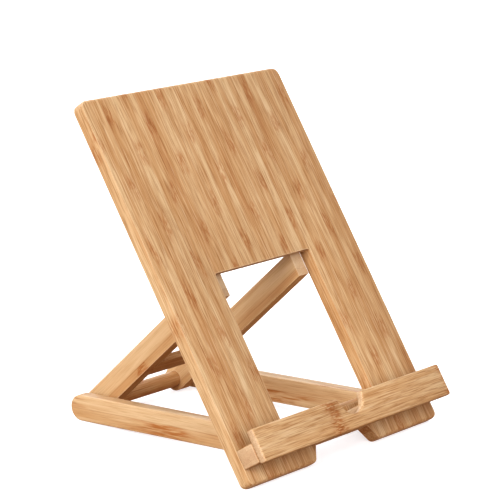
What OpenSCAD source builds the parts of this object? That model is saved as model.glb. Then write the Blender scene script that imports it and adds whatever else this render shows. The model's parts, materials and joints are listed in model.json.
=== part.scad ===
// Folding tablet stand: a sloping back panel with a ledge and lip at its foot, hinged on a
// low base frame, and held up from behind by a narrow prop frame that turns inside the base.
//
// Frame: X across the stand, Y from the front to the rear, Z up. The origin is on the floor,
// midway across the stand and midway between the front of the lip and the rear ends of the rails.

/* [Back panel] */
// Width of the back panel across the stand
panel_w = 166; // [150:1:190]
// Length of the back panel measured up its slope
panel_h = 224.2; // [190:0.2:250]
// Thickness of the back panel
panel_t = 7.5; // [7:0.5:10]
// Slope of the back panel above the floor when the stand is set up
panel_tilt = 57; // [52:0.1:62]
// Radius of the panel's upper corners, seen from the front
panel_corner_r = 5.5; // [2:0.5:8]
// Radius of the feet's outer corners
foot_outer_r = 4; // [2:0.5:5]
// Radius of the feet's inner corners, at the cable gap
foot_corner_r = 3; // [1:0.5:4]
// Radius of the long edges along the panel's top end and under its feet
panel_edge_r = 2; // [1:0.5:3]
// Width of the cable gap between the two feet, where it meets the floor
foot_gap_w = 57; // [40:1:70]
// Width of the cable gap at its upper end
foot_gap_top_w = 46; // [30:1:60]
// Width of the window in the panel, which the prop frame's top ends reach into
window_w = 82; // [80:1:84]

/* [Ledge and lip] */
// Height of the ledge's underside above the end of the feet
ledge_low = 9.3; // [8:0.1:14]
// Thickness of the ledge
ledge_t = 10.8; // [8:0.1:13]
// Depth of the ledge from the panel's face to the lip
ledge_d = 11.7; // [9:0.1:16]
// Length of the ledge and of the lip across the stand
ledge_w = 166; // [148:0.2:166]
// Height of the lip
lip_h = 18.6; // [16:0.2:24]
// Thickness of the lip
lip_t = 4.6; // [4:0.1:6]
// How far the lip reaches below the ledge's underside
lip_drop = 1.2; // [0:0.1:2]
// Radius of the half-round cable notch in the lip's top edge
notch_r = 10.5; // [8:0.5:12]
// Width of the cable slot through the ledge behind the notch
slot_w = 17; // [12:1:20]

/* [Base frame] */
// Width of the base frame over its rails
base_w = 101.4; // [99:0.2:108]
// Thickness of a rail
rail_t = 7.9; // [7.5:0.1:8.5]
// Height of a rail
rail_h = 14.9; // [14.6:0.1:15.2]
// Distance between the base frame's front and rear dowels
rail_run = 127.7; // [124:0.1:129]
// Diameter of the two dowels
dowel_d = 9.3; // [8:0.1:9.5]
// Height of the front dowel above the end of the feet, measured up the panel
hinge_up = 22.6; // [21:0.1:24]
// Width of each hinge block
block_w = 11; // [10:0.5:14]

/* [Prop frame] */
// Width of the prop frame over its struts
prop_w = 77.6; // [74:0.2:77.6]
// Thickness of a strut
strut_t = 8.6; // [7:0.1:9]
// Width of a strut
strut_h = 14.5; // [13.5:0.1:14.6]
// Angle of the struts above a line square to the panel
prop_lean = 10.6; // [9:0.1:12]
// Width of the board that joins the two struts
cross_w = 14.8; // [12:0.2:18]
// Thickness of the board that joins the two struts
cross_t = 3.8; // [3:0.1:5]
// Distance from the rear dowel's centre to the lower edge of that board
cross_up = 38.2; // [30:0.2:60]

/* [Hidden] */
$fn = 96;

face_bamboo = [0.89, 0.73, 0.52];
edge_bamboo = [0.85, 0.66, 0.46];
bar_bamboo = [0.91, 0.76, 0.56];

// Gap between pieces that move past each other, and play of a dowel in the hole it turns in
clear = 0.3;
turn_play = 0.05;
// Depth of the rear dowel's glued holes in the rails, and of the front dowel's in the blocks
rail_hole_d = 5.5;
block_hole_d = 9;
// How far the struts' ends reach into the window, and the play at the bevel they rest on
tongue = 1.7;
seat_play = 0.4;
// Depth of the bevel along the window's upper edge, and its slope from the panel's back
seat_bevel = 3.2;
seat_angle = 54;
// Overlap that lets a cutting shape run past the face it cuts
past = 1;

// The panel's frame lies on its back face, with its origin at the end of the feet.
// The rounded edge under the feet rests on the floor, so the frame's origin is a little below.
panel_drop = panel_edge_r*(sin(panel_tilt) + cos(panel_tilt) - 1);
// The front dowel's axis lies so far behind the panel that the rails just clear its back face.
hinge_back = rail_h/2 + clear;

// Where a point of the panel's frame lies, along Y from the feet's end and above the floor
function panel_y(up, out) = up*cos(panel_tilt) - out*sin(panel_tilt);
function panel_z(up, out) = up*sin(panel_tilt) + out*cos(panel_tilt) - panel_drop;

front_y = panel_y(hinge_up, -hinge_back);
front_z = panel_z(hinge_up, -hinge_back);
// The base frame slopes down to the rear, until the round ends of its rails meet the floor.
base_slope = asin((front_z - rail_h/2)/rail_run);
rear_y = front_y + rail_run*cos(base_slope);
rear_z = rail_h/2;
// The stand's frontmost and rearmost points, and the shift that puts the origin between them
lip_low = ledge_low - lip_drop;
lip_y = panel_y(lip_low, panel_t + ledge_d + lip_t);
origin_y = -(lip_y + rear_y + rail_h/2)/2;

// Angle between the panel and the base frame when the stand is set up
open_angle = panel_tilt + base_slope;
// Slope of the struts above the floor
prop_slope = 90 - panel_tilt + prop_lean;
// Where the struts' centre line meets the plane of the panel's back, measured up the panel
rear_back = hinge_back + rail_run*sin(open_angle);
seat_up = hinge_up + rail_run*cos(open_angle) + rear_back*tan(prop_lean);
// Length of a strut from the rear dowel's centre to its end, on its centre line
strut_len = (rear_back + tongue)/cos(prop_lean);
// Upper side of the struts where they pass the panel's back face
seat_top = seat_up + strut_h/2/cos(prop_lean);
// The window runs from just over the ledge to the bevelled edge that the struts rest under.
window_low = ledge_low + ledge_t + 3.6;
window_top = seat_top - seat_bevel/tan(seat_angle) + seat_play/sin(seat_angle);
window_r = 1.5;
// How much wider each side of the cable gap is at the floor than at its upper end
foot_gap_lean = (foot_gap_w - foot_gap_top_w)/2;

// Puts its children in the panel's frame: X across, Y up the panel, Z out of its front face
module on_panel() {
  translate([0, origin_y, -panel_drop])
    rotate([panel_tilt, 0, 0])
      children();
}

// Extrudes its flat children across the stand, from x = start, over a width
module across(start, width) {
  translate([start, 0, 0])
    rotate([90, 0, 90])
      linear_extrude(width)
        children();
}

// Rectangle with round corners, its lower left corner at the origin
module round_rect(w, h, r) {
  translate([r, 0])
    square([w - 2*r, h]);
  translate([0, r])
    square([w, h - 2*r]);
  for (x = [r, w - r], y = [r, h - r])
    translate([x, y])
      circle(r);
}

// Flat bar with round ends about two points, len apart along +X
module round_bar(len, width) {
  translate([0, -width/2])
    square([len, width]);
  for (x = [0, len])
    translate([x, 0])
      circle(d = width);
}

// Dowel along X, centred on the stand, at a distance from the origin and a height
module dowel(y, z, len) {
  translate([-len/2, y, z])
    rotate([0, 90, 0])
      cylinder(d = dowel_d, h = len);
}

// Round hole along X that starts at x = start, with its axis at a distance and a height
module hole(y, z, start, len, d) {
  translate([start, y, z])
    rotate([0, 90, 0])
      cylinder(d = d, h = len);
}

// Outline of the panel from the front: a plain board with a gap between two feet
module panel_outline() {
  difference() {
    intersection() {
      translate([-panel_w/2, 0])
        round_rect(panel_w, 2*panel_h, foot_outer_r);
      translate([-panel_w/2, -panel_h])
        round_rect(panel_w, 2*panel_h, panel_corner_r);
    }
    foot_gap();
    for (side = [-1, 1])
      translate([side*foot_gap_w/2, 0])
        mirror([side < 0 ? 1 : 0, 0])
          corner_cut(180 - atan(ledge_low/foot_gap_lean), foot_corner_r);
    translate([-window_w/2, window_low])
      round_rect(window_w, window_top - window_low, window_r);
  }
}

// What rounding to a radius takes off a corner at the origin, between +X and a direction
module corner_cut(angle, r) {
  run = r/tan(angle/2);
  difference() {
    polygon([
      [run, r],
      [run, 0],
      [-run, -past],
      [run*cos(angle), run*sin(angle)],
    ]);
    translate([run, r])
      circle(r);
  }
}

// The gap between the feet widens towards the floor.
module foot_gap() {
  polygon([
    [-foot_gap_top_w/2, ledge_low],
    [foot_gap_top_w/2, ledge_low],
    [foot_gap_w/2, 0],
    [foot_gap_w/2, -past],
    [-foot_gap_w/2, -past],
    [-foot_gap_w/2, 0],
  ]);
}

// Bevel that opens the window's upper edge towards the panel's back
module window_bevel() {
  rise = seat_bevel/tan(seat_angle);
  across(-window_w/2, window_w)
    polygon([
      [window_top - past, -past],
      [window_top + rise*(1 + past/seat_bevel), -past],
      [window_top, seat_bevel],
      [window_top - past, seat_bevel],
    ]);
}

module back_panel() {
  color(face_bamboo)
    on_panel()
      difference() {
        intersection() {
          linear_extrude(panel_t)
            panel_outline();
          across(-panel_w/2, panel_w)
            round_rect(panel_h, panel_t, panel_edge_r);
        }
        window_bevel();
      }
}

// Shelf glued to the panel's face, which carries the lower edge of the tablet
module ledge() {
  slot_back = 2;
  color(edge_bamboo)
    on_panel()
      difference() {
        translate([-ledge_w/2, ledge_low, panel_t])
          cube([ledge_w, ledge_t, ledge_d]);
        translate([-slot_w/2, ledge_low - past, panel_t + slot_back])
          cube([slot_w, ledge_t + 2*past, ledge_d - slot_back + past]);
      }
}

// Strip glued along the front of the ledge, with a half-round notch for the cable
module lip() {
  color(face_bamboo)
    on_panel()
      difference() {
        translate([-ledge_w/2, lip_low, panel_t + ledge_d])
          cube([ledge_w, lip_h, lip_t]);
        translate([0, lip_low + lip_h, panel_t + ledge_d - past])
          cylinder(r = notch_r, h = lip_t + 2*past);
      }
}

// Block glued to the panel's back, outside a rail, in which the front dowel turns
module hinge_block(start) {
  color(bar_bamboo)
    difference() {
      on_panel()
        across(start, block_w)
          union() {
            translate([hinge_up - rail_h/2, -hinge_back])
              square([rail_h, hinge_back]);
            translate([hinge_up, -hinge_back])
              circle(d = rail_h);
          }
      hole(origin_y + front_y, front_z, -base_w/2 - clear - block_hole_d,
           base_w + 2*clear + 2*block_hole_d, dowel_d + 2*turn_play);
    }
}

module hinge_block_left() {
  hinge_block(-base_w/2 - clear - block_w);
}

module hinge_block_right() {
  hinge_block(base_w/2 + clear);
}

// Rail of the base frame, from the front dowel to the rear end that stands on the floor
module rail(start) {
  hole_x = base_w/2 - rail_t + rail_hole_d;
  color(bar_bamboo)
    difference() {
      translate([0, origin_y + rear_y, rear_z])
        across(start, rail_t)
          rotate(180 - base_slope)
            round_bar(rail_run, rail_h);
      hole(origin_y + front_y, front_z, -base_w/2 - past, base_w + 2*past, dowel_d);
      hole(origin_y + rear_y, rear_z, -hole_x, 2*hole_x, dowel_d);
    }
}

module rail_left() {
  rail(-base_w/2);
}

module rail_right() {
  rail(base_w/2 - rail_t);
}

// Round bar that is glued in both rails and turns in the two hinge blocks
module front_dowel() {
  end_play = 0.5;
  color(edge_bamboo)
    dowel(origin_y + front_y, front_z, base_w + 2*(clear + block_hole_d - end_play));
}

// Round bar glued in both rails, on which the prop frame turns
module rear_dowel() {
  color(edge_bamboo)
    dowel(origin_y + rear_y, rear_z, base_w - 2*rail_t + 2*rail_hole_d);
}

// Puts its children in the prop's frame: X across, Y up the struts, Z down through them
module on_prop() {
  translate([0, origin_y + rear_y, rear_z])
    rotate([180 - prop_slope, 0, 0])
      children();
}

// What is cut off the struts' ends: the panel's bevelled edge and all that lies beyond the tongue
module seat_cut() {
  rise = seat_bevel/tan(seat_angle);
  drop = seat_play/sin(seat_angle);
  far = 4*strut_h;
  on_panel()
    across(-prop_w, 2*prop_w)
      union() {
        polygon([
          [window_top - drop, seat_bevel],
          [window_top - drop + rise*(1 + far/seat_bevel), -far],
          [window_top - drop + far, seat_bevel],
        ]);
        translate([seat_up - far, tongue])
          square([2*far, far]);
      }
}

// Strut of the prop frame, from the rear dowel to the window in the panel
module strut(start) {
  color(bar_bamboo)
    difference() {
      on_prop()
        across(start, strut_t)
          union() {
            translate([0, -strut_h/2])
              square([strut_len + strut_h/2, strut_h]);
            circle(d = strut_h);
          }
      seat_cut();
      hole(origin_y + rear_y, rear_z, start - past, strut_t + 2*past, dowel_d + 2*turn_play);
    }
}

module strut_left() {
  strut(-prop_w/2);
}

module strut_right() {
  strut(prop_w/2 - strut_t);
}

// Board glued between the struts, flush with their lower faces
module cross_board() {
  span = prop_w - 2*strut_t;
  color(edge_bamboo)
    on_prop()
      translate([-span/2, cross_up, strut_h/2 - cross_t])
        cube([span, cross_w, cross_t]);
}

back_panel();
ledge();
lip();
hinge_block_left();
hinge_block_right();
rail_left();
rail_right();
front_dowel();
rear_dowel();
strut_left();
strut_right();
cross_board();
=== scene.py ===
import json
import math
import bpy
from mathutils import Matrix, Vector


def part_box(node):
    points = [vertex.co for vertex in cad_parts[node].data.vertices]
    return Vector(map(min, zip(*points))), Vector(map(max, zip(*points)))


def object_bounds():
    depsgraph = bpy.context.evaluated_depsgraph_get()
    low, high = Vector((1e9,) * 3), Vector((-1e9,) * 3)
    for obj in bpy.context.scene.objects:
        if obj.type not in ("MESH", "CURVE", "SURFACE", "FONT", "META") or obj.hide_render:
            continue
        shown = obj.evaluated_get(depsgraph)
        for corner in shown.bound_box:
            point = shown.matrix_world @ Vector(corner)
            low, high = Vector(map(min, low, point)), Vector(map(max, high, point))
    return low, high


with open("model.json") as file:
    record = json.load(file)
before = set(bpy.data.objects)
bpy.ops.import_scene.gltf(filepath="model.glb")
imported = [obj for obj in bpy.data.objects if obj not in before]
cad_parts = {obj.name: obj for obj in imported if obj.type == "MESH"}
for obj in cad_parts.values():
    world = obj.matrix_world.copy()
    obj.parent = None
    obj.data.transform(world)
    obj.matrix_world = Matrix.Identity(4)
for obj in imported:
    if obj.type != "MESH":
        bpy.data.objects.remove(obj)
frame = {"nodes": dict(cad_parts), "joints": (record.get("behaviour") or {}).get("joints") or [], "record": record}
cad_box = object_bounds()

# ---------------------------------------------------------------------------
# Rails: the two side bars of the base frame, each two bamboo lamellas high. They are sawn
# from laminated board, sanded so that every edge is soft, and lacquered satin. Growth rings
# leave a long warm mark low on each rail, near the front.
# ---------------------------------------------------------------------------
MM = 0.001


def sand_edges(node, radius):
    """Rounds a piece's sawn edges to a radius, as sanding does, and shades it smoothly."""
    piece = frame["nodes"][node]
    weld = piece.modifiers.new("join the facets", "WELD")
    weld.merge_threshold = 0.002 * MM
    flat = piece.modifiers.new("clear flat faces", "DECIMATE")
    flat.decimate_type = "DISSOLVE"
    flat.angle_limit = math.radians(0.5)
    edge = piece.modifiers.new("sanded edges", "BEVEL")
    edge.width = radius
    edge.segments = 4
    edge.limit_method = "ANGLE"
    edge.angle_limit = math.radians(35)
    for face in piece.data.polygons:
        face.use_smooth = True
    return piece


def plug_in(tree, socket, value):
    """Links a socket's output, or sets a number or a colour."""
    if isinstance(value, bpy.types.NodeSocket):
        tree.links.new(value, socket)
    elif isinstance(value, tuple) and socket.type == "RGBA":
        socket.default_value = (*value, 1.0)
    else:
        socket.default_value = value


def add(tree, kind, settings=None, **inputs):
    """Adds a shader node. settings are its own properties, inputs are values or sockets."""
    node = tree.nodes.new("ShaderNode" + kind)
    for name, value in (settings or {}).items():
        setattr(node, name, value)
    for name, value in inputs.items():
        plug_in(tree, node.inputs[name.replace("_", " ")], value)
    return node


def reckon(tree, operation, *values):
    """Arithmetic on sockets or numbers, such as MULTIPLY or ADD."""
    node = add(tree, "Math", {"operation": operation})
    for socket, value in zip(node.inputs, values):
        plug_in(tree, socket, value)
    return node.outputs[0]


def fade(tree, value, low, high, to_low=0.0, to_high=1.0):
    """A value taken smoothly from one range to another, and held at its ends."""
    node = add(tree, "MapRange", {"interpolation_type": "SMOOTHSTEP"}, Value=value)
    ends = {"From Min": low, "From Max": high, "To Min": to_low, "To Max": to_high}
    for name, end in ends.items():
        node.inputs[name].default_value = end
    return node.outputs[0]


def stain(tree, factor, wood, colour, how="MIX"):
    """One colour laid over another by a factor. MULTIPLY darkens, as a stain does."""
    node = add(tree, "Mix", {"data_type": "RGBA", "blend_type": how})
    colours = [socket for socket in node.inputs if socket.type == "RGBA"]
    plug_in(tree, node.inputs[0], factor)
    plug_in(tree, colours[0], wood)
    plug_in(tree, colours[1], colour)
    return next(socket for socket in node.outputs if socket.type == "RGBA")


def grain_axes(tree, place, slope, across, start):
    """Distances from a start point in mm: along the grain, across the board and through it."""
    turn = Matrix.Rotation(-math.radians(slope), 3, "X")
    turned = add(tree, "Mapping", Vector=place.outputs["Object"])
    turned.inputs["Location"].default_value = -(turn @ (start / MM))
    turned.inputs["Rotation"].default_value = turn.to_euler()
    turned.inputs["Scale"].default_value = (1 / MM, 1 / MM, 1 / MM)
    side, up, through = add(tree, "SeparateXYZ", Vector=turned.outputs[0]).outputs
    return (side, up, through) if across else (up, side, through)


def streaks(tree, grain, length, width, detail, seed):
    """Noise drawn out along the grain: length and width are those of one streak in mm."""
    along, side, through = grain
    place = add(
        tree,
        "CombineXYZ",
        X=reckon(tree, "DIVIDE", along, length),
        Y=reckon(tree, "DIVIDE", side, width),
        Z=reckon(tree, "DIVIDE", through, width),
    )
    noise = add(
        tree,
        "TexNoise",
        {"noise_dimensions": "4D"},
        Vector=place.outputs[0],
        W=seed,
        Scale=1.0,
        Detail=detail,
        Roughness=0.55,
    )
    return noise.outputs[0]


def swing(tree, noise, reach):
    """Noise as a swing to both sides of zero. reach is the whole swing, from end to end."""
    return reckon(tree, "MULTIPLY", reckon(tree, "SUBTRACT", noise, 0.5), reach)


def lamellas(tree, grain, stacked, strip, first, seed):
    """Where a point lies, counted in glued lamellas, and how far its own is shifted along."""
    stagger = 0.618
    across_strips = grain[2] if stacked else grain[1]
    lane = reckon(tree, "DIVIDE", reckon(tree, "SUBTRACT", across_strips, first), strip)
    wander = streaks(tree, grain, length=160.0, width=9.0, detail=1.0, seed=seed + 3.1)
    lane = reckon(tree, "ADD", lane, swing(tree, wander, 0.4))
    return lane, reckon(tree, "MULTIPLY", reckon(tree, "FLOOR", lane), stagger)


# Bamboo's colours, from the paler wood inside the culm to the browner wood near its skin.
# Amber, the deepest, is also the painted shade of the cross board and the dowels.
STRAW = (0.62, 0.445, 0.265)
HONEY = (0.50, 0.295, 0.138)
AMBER = (0.36, 0.14, 0.04)


def lamella_colour(tree, shift, drift, warmth, seed):
    """Straw, honey or amber: another tone for each lamella, drifting slowly along it."""
    tone = reckon(tree, "FRACT", reckon(tree, "ADD", shift, seed))
    level = reckon(tree, "ADD", swing(tree, tone, 0.36), swing(tree, drift, 1.1))
    level = reckon(tree, "ADD", level, warmth)
    colour = stain(tree, fade(tree, level, 0.0, 0.62), STRAW, HONEY)
    return stain(tree, fade(tree, level, 0.50, 1.15), colour, AMBER)


PITH = (0.70, 0.53, 0.35)
FIBRE_SHADE = (0.80, 0.69, 0.56)
HAIR_SHADE = (0.66, 0.53, 0.40)


def draw_fibres(tree, colour, fibre, hair, figure):
    """Soft brown streaks, finer dark hairs, and pale threads between them."""
    brown = fade(tree, fibre, 0.46, 0.64, 0.0, 0.70 * figure)
    dark = fade(tree, hair, 0.49, 0.63, 0.0, 0.80 * figure)
    pale = fade(tree, fibre, 0.30, 0.46, 0.45 * figure, 0.0)
    colour = stain(tree, brown, colour, FIBRE_SHADE, "MULTIPLY")
    colour = stain(tree, dark, colour, HAIR_SHADE, "MULTIPLY")
    return stain(tree, pale, colour, PITH)


RING_SHADE = (0.70, 0.44, 0.25)


def growth_rings(tree, grain, shift, ring_at, ring_half, ring_pitch, seed):
    """How strongly a growth ring marks a point: wavy, speckled, and frayed along the fibres."""
    half_pitch = ring_pitch / 2
    along = reckon(tree, "ADD", grain[0], reckon(tree, "MULTIPLY", shift, ring_pitch))
    along = reckon(tree, "ADD", along, half_pitch - ring_at)
    away = reckon(tree, "SUBTRACT", reckon(tree, "FLOORED_MODULO", along, ring_pitch), half_pitch)
    fray = streaks(tree, grain, length=30.0, width=3.0, detail=2.0, seed=seed + 5.5)
    away = reckon(tree, "ADD", away, swing(tree, fray, 3.2 * ring_half))
    band = fade(tree, reckon(tree, "ABSOLUTE", away), 0.3 * ring_half, 1.3 * ring_half, 1.0, 0.0)
    speckle = streaks(tree, grain, length=0.55 * ring_half, width=0.9, detail=3.0, seed=seed + 2.2)
    return reckon(tree, "MULTIPLY", band, fade(tree, speckle, 0.36, 0.60))


def glue_lines(tree, lane):
    """1 along the thin line where two lamellas meet, 0 between lines."""
    off_middle = reckon(tree, "SUBTRACT", reckon(tree, "FRACT", lane), 0.5)
    return fade(tree, reckon(tree, "ABSOLUTE", off_middle), 0.455, 0.495)


SAWN_END = (0.54, 0.41, 0.29)


def saw_ends(tree, colour, place, grain, slope, across):
    """Greyer ends, dotted where the saw has cut the fibre bundles. Only faces cut across the
    grain take this colour."""
    cut = add(tree, "CombineXYZ", X=grain[1], Y=grain[2])
    bundle = add(tree, "TexVoronoi", Vector=cut.outputs[0], Scale=1.25, Randomness=1.0)
    dots = fade(tree, bundle.outputs["Distance"], 0.14, 0.34, 0.40, 0.0)
    end_colour = stain(tree, dots, stain(tree, 0.45, colour, SAWN_END), HAIR_SHADE, "MULTIPLY")
    facing = add(tree, "Mapping", {"vector_type": "NORMAL"}, Vector=place.outputs["Normal"])
    facing.inputs["Rotation"].default_value = (-math.radians(slope), 0.0, 0.0)
    normal = add(tree, "SeparateXYZ", Vector=facing.outputs[0])
    grain_direction = 0 if across else 1
    facing_along = reckon(tree, "ABSOLUTE", normal.outputs[grain_direction])
    return stain(tree, fade(tree, facing_along, 0.72, 0.92), colour, end_colour)


# Arris mask: it drives real wear, extra gloss, and a painted highlight on the edges.
def worn_and_highlit_arrises(tree):
    """1 on the sanded edges, 0 on the faces between them."""
    rounded = add(tree, "Bevel", {"samples": 6}, Radius=1.3 * MM)
    face = add(tree, "NewGeometry")
    likeness = add(tree, "VectorMath", {"operation": "DOT_PRODUCT"})
    plug_in(tree, likeness.inputs[0], rounded.outputs[0])
    plug_in(tree, likeness.inputs[1], face.outputs["Normal"])
    return fade(tree, likeness.outputs["Value"], 0.90, 0.995, 1.0, 0.0)


def lacquer(tree, colour, fibre, hair, glue, drift, arris_wear_and_highlight):
    """Thin satin lacquer: it follows the fibres, dips at the glue lines, varies a little in
    gloss, and shines more on the arrises."""
    relief = reckon(tree, "ADD", reckon(tree, "MULTIPLY", fibre, 0.6), reckon(tree, "MULTIPLY", hair, 0.4))
    relief = reckon(tree, "SUBTRACT", relief, reckon(tree, "MULTIPLY", glue, 0.25))
    bump = add(tree, "Bump", Strength=0.45, Distance=0.15 * MM, Height=relief)
    roughness = fade(tree, drift, 0.3, 0.7, 0.42, 0.56)
    roughness = reckon(tree, "SUBTRACT", roughness, reckon(tree, "MULTIPLY", arris_wear_and_highlight, 0.08))
    surface = add(
        tree,
        "BsdfPrincipled",
        Base_Color=colour,
        Roughness=roughness,
        Specular_IOR_Level=0.38,
        Normal=bump.outputs[0],
    )
    add(tree, "OutputMaterial", Surface=surface.outputs[0])


def bamboo(
    name,
    slope,
    start,
    across=False,
    stacked=False,
    strip=5.5,
    first=0.0,
    warmth=0.5,
    figure=1.0,
    ring_at=0.0,
    ring_half=3.0,
    ring_pitch=236.0,
    ring_depth=0.9,
    seed=0.0,
):
    """Laminated, lacquered bamboo for one piece, with distances in mm from its start point.

    slope is the board's angle above the floor in degrees. The grain follows it, or runs
    across the stand. The lamellas lie side by side or stacked: each is strip wide, and one
    begins at first. warmth runs from 0, straw, to 1, amber, and figure is how boldly the
    fibres show. Growth rings cross that lamella at ring_at and every ring_pitch from there,
    and reach ring_half to each side. ring_depth is how dark they are. Each pattern adds a
    step of its own to seed, and the fraction of seed is the tone of that lamella.
    """
    material = bpy.data.materials.new(name)
    material.use_nodes = True
    tree = material.node_tree
    tree.nodes.clear()
    place = add(tree, "TexCoord")
    grain = grain_axes(tree, place, slope, across, start)
    lane, shift = lamellas(tree, grain, stacked, strip, first, seed)
    drift = streaks(tree, grain, length=70.0, width=5.0, detail=2.0, seed=seed + 7.7)
    fibre = streaks(tree, grain, length=24.0, width=0.85, detail=3.0, seed=seed + 1.3)
    hair = streaks(tree, grain, length=13.0, width=0.42, detail=2.0, seed=seed + 9.2)
    ring = growth_rings(tree, grain, shift, ring_at, ring_half, ring_pitch, seed)
    glue = glue_lines(tree, lane)
    arris_wear_and_highlight = worn_and_highlit_arrises(tree)
    colour = lamella_colour(tree, shift, drift, warmth, seed)
    colour = draw_fibres(tree, colour, fibre, hair, figure)
    colour = stain(tree, reckon(tree, "MULTIPLY", ring, ring_depth), colour, RING_SHADE, "MULTIPLY")
    colour = stain(tree, reckon(tree, "MULTIPLY", glue, 0.40), colour, HAIR_SHADE, "MULTIPLY")
    colour = saw_ends(tree, colour, place, grain, slope, across)
    # Arrises lightened toward pith colour: partly real wear, partly a painted highlight of the lit edges.
    colour = stain(tree, reckon(tree, "MULTIPLY", arris_wear_and_highlight, 0.45), colour, PITH)
    lacquer(tree, colour, fibre, hair, glue, drift, arris_wear_and_highlight)
    return material


def make_piece(node, wood, radius):
    """Sands a sawn piece's edges to a radius in mm and gives it its own bamboo."""
    piece = sand_edges(node, radius * MM)
    piece.data.materials.clear()
    piece.data.materials.append(wood)


axles = {joint["name"]: Vector(joint["pos_m"]) for joint in frame["joints"]}
front_axle = axles["panel_fold"]
rear_axle = axles["prop_fold"]
axle_line = rear_axle - front_axle
base_slope = math.degrees(math.atan2(axle_line.z, axle_line.y))
# The rear dowel lies at half the rail's height, where the two lamellas meet
rail_lamella = rear_axle.z / MM
for side, seed in (("left", 2.8), ("right", 11.8)):
    rail_wood = bamboo(
        f"rail bamboo {side}",
        base_slope,
        rear_axle,
        stacked=True,
        strip=rail_lamella,
        first=-rail_lamella,
        warmth=0.26,
        figure=0.45,
        ring_at=-64.0,
        ring_half=24.0,
        ring_depth=1.0,
        seed=seed,
    )
    make_piece(f"rail_{side}", rail_wood, radius=1.3)

# ---------------------------------------------------------------------------
# Dowels: two round bamboo bars, coloured darker and warmer than the struts as painted shade.
# The rear one is glued in blind holes in the rails and carries the prop frame; the front one
# is the panel's hinge.
# ---------------------------------------------------------------------------
for end, axle, seed in (("front", front_axle, 21.0), ("rear", rear_axle, 24.0)):
    # High warmth darkens the dowels as painted shade.
    dowel_wood_painted_shade = bamboo(
        f"dowel bamboo painted shade {end}",
        slope=0.0,
        start=axle,
        across=True,
        strip=4.0,
        first=-2.0,
        warmth=0.80,
        figure=0.8,
        seed=seed,
    )
    make_piece(f"{end}_dowel", dowel_wood_painted_shade, radius=0.4)

# ---------------------------------------------------------------------------
# Prop frame: two pale struts with round feet that turn on the rear dowel, and a thin board
# glued between them, coloured darker and warmer as painted shade. Their bevelled upper ends
# rest in the panel's window.
# ---------------------------------------------------------------------------
prop_fold = next(joint for joint in frame["joints"] if joint["name"] == "prop_fold")
folded_angle = prop_fold["range_deg"][1]
# Folded, the prop frame lies in line with the rails
prop_slope = 180.0 + base_slope - folded_angle
for side, seed in (("left", 31.2), ("right", 38.2)):
    strut_wood = bamboo(
        f"strut bamboo {side}",
        prop_slope,
        rear_axle,
        stacked=True,
        strip=12.0,
        first=-9.0,
        warmth=0.39,
        figure=0.35,
        ring_at=-45.0,
        ring_half=6.0,
        seed=seed,
    )
    make_piece(f"strut_{side}", strut_wood, radius=1.1)
# High warmth darkens the cross board as painted shade.
board_wood_painted_shade = bamboo("cross board bamboo painted shade", prop_slope, rear_axle, across=True, warmth=0.80, seed=45.5)
make_piece("cross_board", board_wood_painted_shade, radius=0.7)

# ---------------------------------------------------------------------------
# Back panel: one board glued up from upright bamboo lamellas, with two feet, a cable gap
# between them and a window for the prop frame. All its edges are sanded round, and growth
# rings cross each lamella at another height.
# ---------------------------------------------------------------------------
ledge_top = Vector(frame["record"]["mounts"][0]["axis"])
panel_slope = math.degrees(math.atan2(ledge_top.z, ledge_top.y))
panel_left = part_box("back_panel")[0].x / MM
panel_lamella = 5.53
panel_wood = bamboo(
    "panel bamboo",
    panel_slope,
    front_axle,
    strip=panel_lamella,
    first=panel_left - panel_lamella / 2,
    warmth=0.42,
    figure=0.95,
    ring_at=69.0,
    ring_half=7.5,
    ring_pitch=106.0,
    ring_depth=0.7,
    seed=5.05,
)
make_piece("back_panel", panel_wood, radius=1.2)

# ---------------------------------------------------------------------------
# Hinge blocks: two short bamboo blocks glued behind the panel, outside the rails. The ends
# of the front dowel turn in them.
# ---------------------------------------------------------------------------
for side, seed in (("left", 51.0), ("right", 57.0)):
    block_wood = bamboo(
        f"hinge block bamboo {side}", panel_slope, front_axle, strip=6.0, figure=0.8, seed=seed
    )
    make_piece(f"hinge_block_{side}", block_wood, radius=0.8)

# ---------------------------------------------------------------------------
# Ledge and lip: a shelf glued to the panel's face, and a thin strip glued along its front.
# Their grain runs across the stand. The lip is one bold lamella wide, and growth rings
# cross it just left of the cable notch and at its right end.
# ---------------------------------------------------------------------------
ledge_wood = bamboo(
    "ledge bamboo",
    panel_slope,
    front_axle,
    across=True,
    strip=5.4,
    figure=0.6,
    seed=61.0,
)
make_piece("ledge", ledge_wood, radius=0.8)
lip_wood = bamboo(
    "lip bamboo",
    panel_slope,
    front_axle,
    across=True,
    strip=21.0,
    first=-16.0,
    warmth=0.42,
    figure=1.1,
    ring_at=-18.0,
    ring_half=6.0,
    ring_pitch=104.0,
    ring_depth=1.0,
    seed=66.5,
)
make_piece("lip", lip_wood, radius=1.1)

# ---------------------------------------------------------------------------
# Room: a plain pale floor with a round wall, and soft light, mostly from the left. Floor
# and wall are painted, and throw no light up, so that undersides stay deep.
# ---------------------------------------------------------------------------


def plain_paint(name, colour, glow):
    """A matt paint with a faint mottle. glow lifts the shadows that lie on it."""
    material = bpy.data.materials.new(name)
    material.use_nodes = True
    tree = material.node_tree
    surface = tree.nodes["Principled BSDF"]
    mottle = add(tree, "TexNoise", Scale=3.0, Detail=4.0)
    pale_grey = (0.7, 0.7, 0.7)
    tone = stain(tree, fade(tree, mottle.outputs[0], 0.3, 0.7, 0.0, 0.04), colour, pale_grey)
    plug_in(tree, surface.inputs["Base Color"], tone)
    plug_in(tree, surface.inputs["Emission Color"], colour)
    surface.inputs["Roughness"].default_value = 0.9
    surface.inputs["Emission Strength"].default_value = glow
    return material


def set_up(name, paint):
    """Names and paints the floor or wall just made, and lets it throw no light."""
    surround = bpy.context.object
    surround.name = name
    surround.data.materials.append(paint)
    surround.visible_diffuse = False
    surround.visible_glossy = False
    return surround


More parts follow.
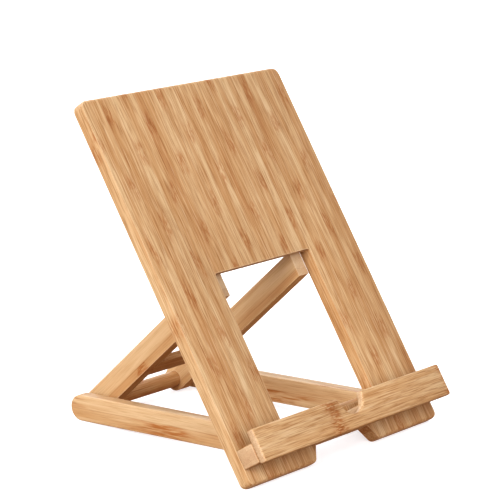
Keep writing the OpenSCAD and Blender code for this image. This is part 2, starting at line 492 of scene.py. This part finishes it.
room_width = 60.0
wall_radius = 0.48 * room_width
floor_middle = (0.0, 0.0, cad_box[0].z)
bpy.ops.mesh.primitive_plane_add(size=room_width, location=floor_middle)
set_up("floor", plain_paint("floor paint", colour=(0.62, 0.62, 0.63), glow=0.9))
bpy.ops.mesh.primitive_cylinder_add(
    vertices=64, radius=wall_radius, depth=room_width, location=floor_middle
)
wall = set_up("backdrop", plain_paint("backdrop paint", colour=(0.93, 0.93, 0.93), glow=1.1))
wall.visible_shadow = False

warm_below = (0.30, 0.15, 0.07)
grey_above = (0.36, 0.36, 0.37)
world = bpy.data.worlds.new("studio")
bpy.context.scene.world = world
world.use_nodes = True
direction = add(world.node_tree, "TexCoord")
height = add(world.node_tree, "SeparateXYZ", Vector=direction.outputs["Generated"]).outputs[2]
rise = fade(world.node_tree, height, -0.25, 0.25)
sky_colour = stain(world.node_tree, rise, warm_below, grey_above)
plug_in(world.node_tree, world.node_tree.nodes["Background"].inputs["Color"], sky_colour)


def soft_light(name, toward, spread, strength):
    """A far light that shines in a direction. spread is how wide it looks, in degrees."""
    lamp = bpy.data.lights.new(name, "SUN")
    lamp.angle = math.radians(spread)
    lamp.energy = strength
    holder = bpy.data.objects.new(name, lamp)
    bpy.context.scene.collection.objects.link(holder)
    holder.rotation_euler = Vector(toward).to_track_quat("-Z", "Y").to_euler()


soft_light("left light", toward=(1.0, 0.10, -0.52), spread=40.0, strength=3.05)
soft_light("front light", toward=(0.25, 0.80, -0.42), spread=50.0, strength=1.55)
soft_light("rear light", toward=(-0.35, -0.80, -0.60), spread=60.0, strength=1.9)

# ---------------------------------------------------------------------------
# Camera: a long lens from the front left, a little above the stand. The plain Standard view
# with a little more contrast keeps the wood's own colours.
# ---------------------------------------------------------------------------
view_from = Vector((-0.9977, -0.8205, 0.4042))
heading = math.radians(-50.70)
tip_down = math.radians(13.12)
roll = math.radians(0.82)
lens = bpy.data.cameras.new("camera")
lens.sensor_width = 36.0
lens.lens = 172.4
camera = bpy.data.objects.new("camera", lens)
bpy.context.scene.collection.objects.link(camera)
camera.matrix_world = (
    Matrix.Translation(view_from)
    @ Matrix.Rotation(heading, 4, "Z")
    @ Matrix.Rotation(math.pi / 2 - tip_down, 4, "X")
    @ Matrix.Rotation(roll, 4, "Z")
)
bpy.context.scene.camera = camera
bpy.context.scene.view_settings.view_transform = "Standard"
bpy.context.scene.view_settings.look = "Medium High Contrast"
